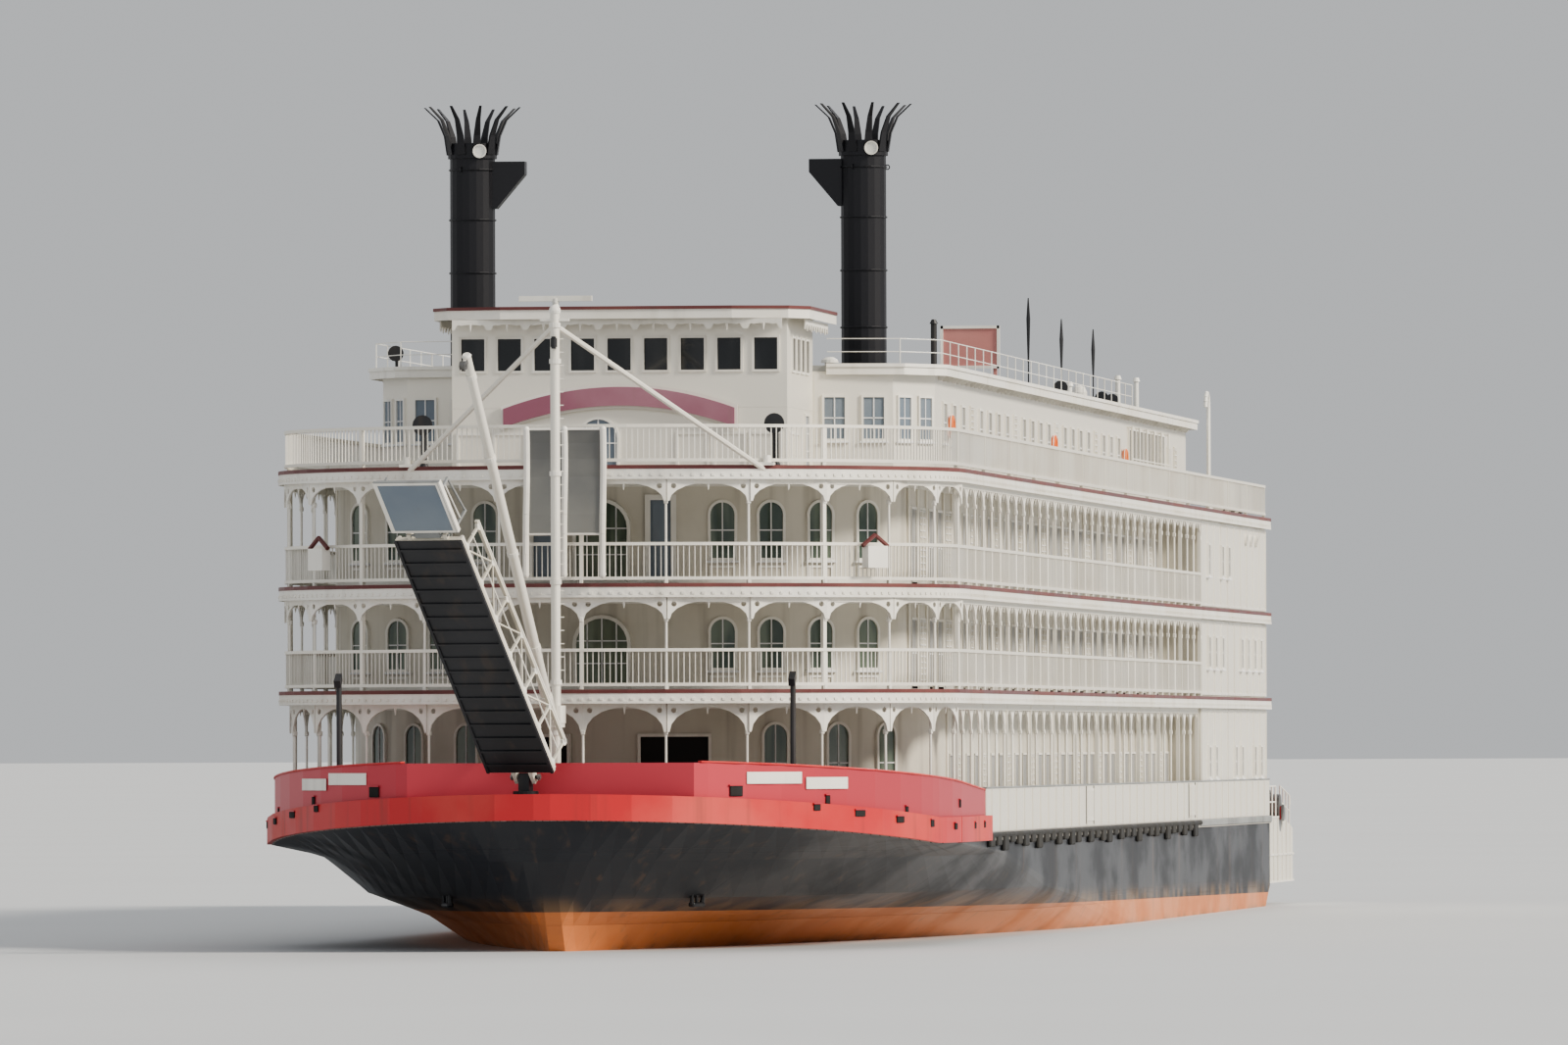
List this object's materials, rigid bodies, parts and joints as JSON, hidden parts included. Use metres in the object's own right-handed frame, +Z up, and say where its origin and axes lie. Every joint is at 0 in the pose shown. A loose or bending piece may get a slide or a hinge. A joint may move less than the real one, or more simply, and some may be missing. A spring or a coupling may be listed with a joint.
{
  "type": "sternwheel river boat, 1:10 scale model",
  "caption": "Flat-bottomed river passenger boat at 1:10 with tiered balcony decks, crowned twin stacks, a raised bow landing stage and a turning stern wheel.",
  "frame": {"origin": "centre of the flat hull bottom, amidships", "axes": "+X to the bow, +Y to port, +Z up"},
  "size_m": [11.6025, 1.7848, 2.428],
  "materials": {
    "boot_orange": "satin, weathered at the waterline",
    "hull_black": "satin",
    "bow_red": "satin",
    "white_paint": "satin, warm white",
    "deck_paint": "matt, non-slip",
    "fascia_brown": "satin",
    "stack_black": "satin",
    "wheel_red": "gloss",
    "steel": "worn"
  },
  "bodies": {
    "hull": {"hull_bottom": "boot_orange", "hull_topsides": "hull_black", "main_deck": "deck_paint", "bow_strake": "bow_red", "bow_bulwark": "bow_red", "side_bulwark_port": "white_paint", "side_bulwark_starboard": "white_paint", "deck_second": "fascia_brown", "deck_third": "fascia_brown", "deck_fourth": "fascia_brown", "house_main": "white_paint", "house_second": "white_paint", "house_third": "white_paint", "balcony_second_port": "white_paint", "balcony_second_bow": "white_paint", "balcony_second_starboard": "white_paint", "balcony_third_port": "white_paint", "balcony_third_bow": "white_paint", "balcony_third_starboard": "white_paint", "rail_fourth_port": "white_paint", "rail_fourth_bow": "white_paint", "rail_fourth_starboard": "white_paint", "colonnade_port": "white_paint", "colonnade_starboard": "white_paint", "texas_house": "white_paint", "texas_roof": "deck_paint", "pilothouse_base": "white_paint", "pilothouse_cab": "white_paint", "pilothouse_roof": "white_paint", "stack_port": "stack_black", "crown_port": "stack_black", "stack_starboard": "stack_black", "crown_starboard": "stack_black", "bow_mast": "white_paint", "stage_pedestal": "steel", "outrigger_port": "hull_black", "wheel_bearing_port": "steel", "outrigger_starboard": "hull_black", "wheel_bearing_starboard": "steel", "capstan_base": "steel", "radar_post": "white_paint", "searchlight_port": "white_paint", "searchlight_starboard": "white_paint", "lamp_post_port": "white_paint", "lamp_post_starboard": "white_paint"},
    "wheel": {"sternwheel": "wheel_red"},
    "stage_swivel": {"stage_turntable": "steel"},
    "landing_stage": {"stage": "white_paint"},
    "stage_apron": {"stage_apron": "deck_paint"},
    "boom_swivel": {"boom_collar": "steel"},
    "boom": {"boom": "white_paint"},
    "rudder_port": {"rudder_port": "boot_orange"},
    "rudder_starboard": {"rudder_starboard": "boot_orange"},
    "capstan": {"capstan": "steel"},
    "radar": {"radar_scanner": "white_paint"}
  },
  "joints": [
    {"name": "wheel_turn", "type": "hinge", "parent": "hull", "child": "wheel", "pos_m": [-5.41, 0, 0.52], "axis": [0, 1, 0], "continuous": true},
    {"name": "stage_swing", "type": "hinge", "parent": "hull", "child": "stage_swivel", "pos_m": [5.14, -0.05, 0.622], "axis": [0, 0, 1], "range_deg": [-25, 65]},
    {"name": "stage_raise", "type": "hinge", "parent": "stage_swivel", "child": "landing_stage", "pos_m": [5.14, -0.05, 0.665], "axis": [-0.342, -0.9397, 0], "range_deg": [-55, 8]},
    {"name": "apron_fold", "type": "hinge", "parent": "landing_stage", "child": "stage_apron", "pos_m": [5.61546, -0.22305, 1.25866], "axis": [-0.342, -0.9397, 0], "range_deg": [-60, 20]},
    {"name": "boom_swing", "type": "hinge", "parent": "hull", "child": "boom_swivel", "pos_m": [4.95, 0, 0.82], "axis": [0, 0, 1], "range_deg": [-25, 65]},
    {"name": "boom_luff", "type": "hinge", "parent": "boom_swivel", "child": "boom", "pos_m": [4.99108, -0.00873, 0.82], "axis": [-0.2079, -0.9781, 0], "range_deg": [-4, 18]},
    {"name": "rudder_port_turn", "type": "hinge", "parent": "hull", "child": "rudder_port", "pos_m": [-4.69, 0.35, 0.1], "axis": [0, 0, 1], "range_deg": [-35, 35]},
    {"name": "rudder_starboard_turn", "type": "hinge", "parent": "hull", "child": "rudder_starboard", "pos_m": [-4.69, -0.35, 0.1], "axis": [0, 0, 1], "range_deg": [-35, 35]},
    {"name": "capstan_turn", "type": "hinge", "parent": "hull", "child": "capstan", "pos_m": [4.58, 0, 0.58], "axis": [0, 0, 1], "continuous": true},
    {"name": "radar_turn", "type": "hinge", "parent": "hull", "child": "radar", "pos_m": [3.58, -0.19, 1.896], "axis": [0, 0, 1], "continuous": true}
  ],
  "couplings": [
    {"joint": "boom_swing", "follows": "stage_swing", "ratio": 1},
    {"joint": "rudder_starboard_turn", "follows": "rudder_port_turn", "ratio": 1}
  ]
}
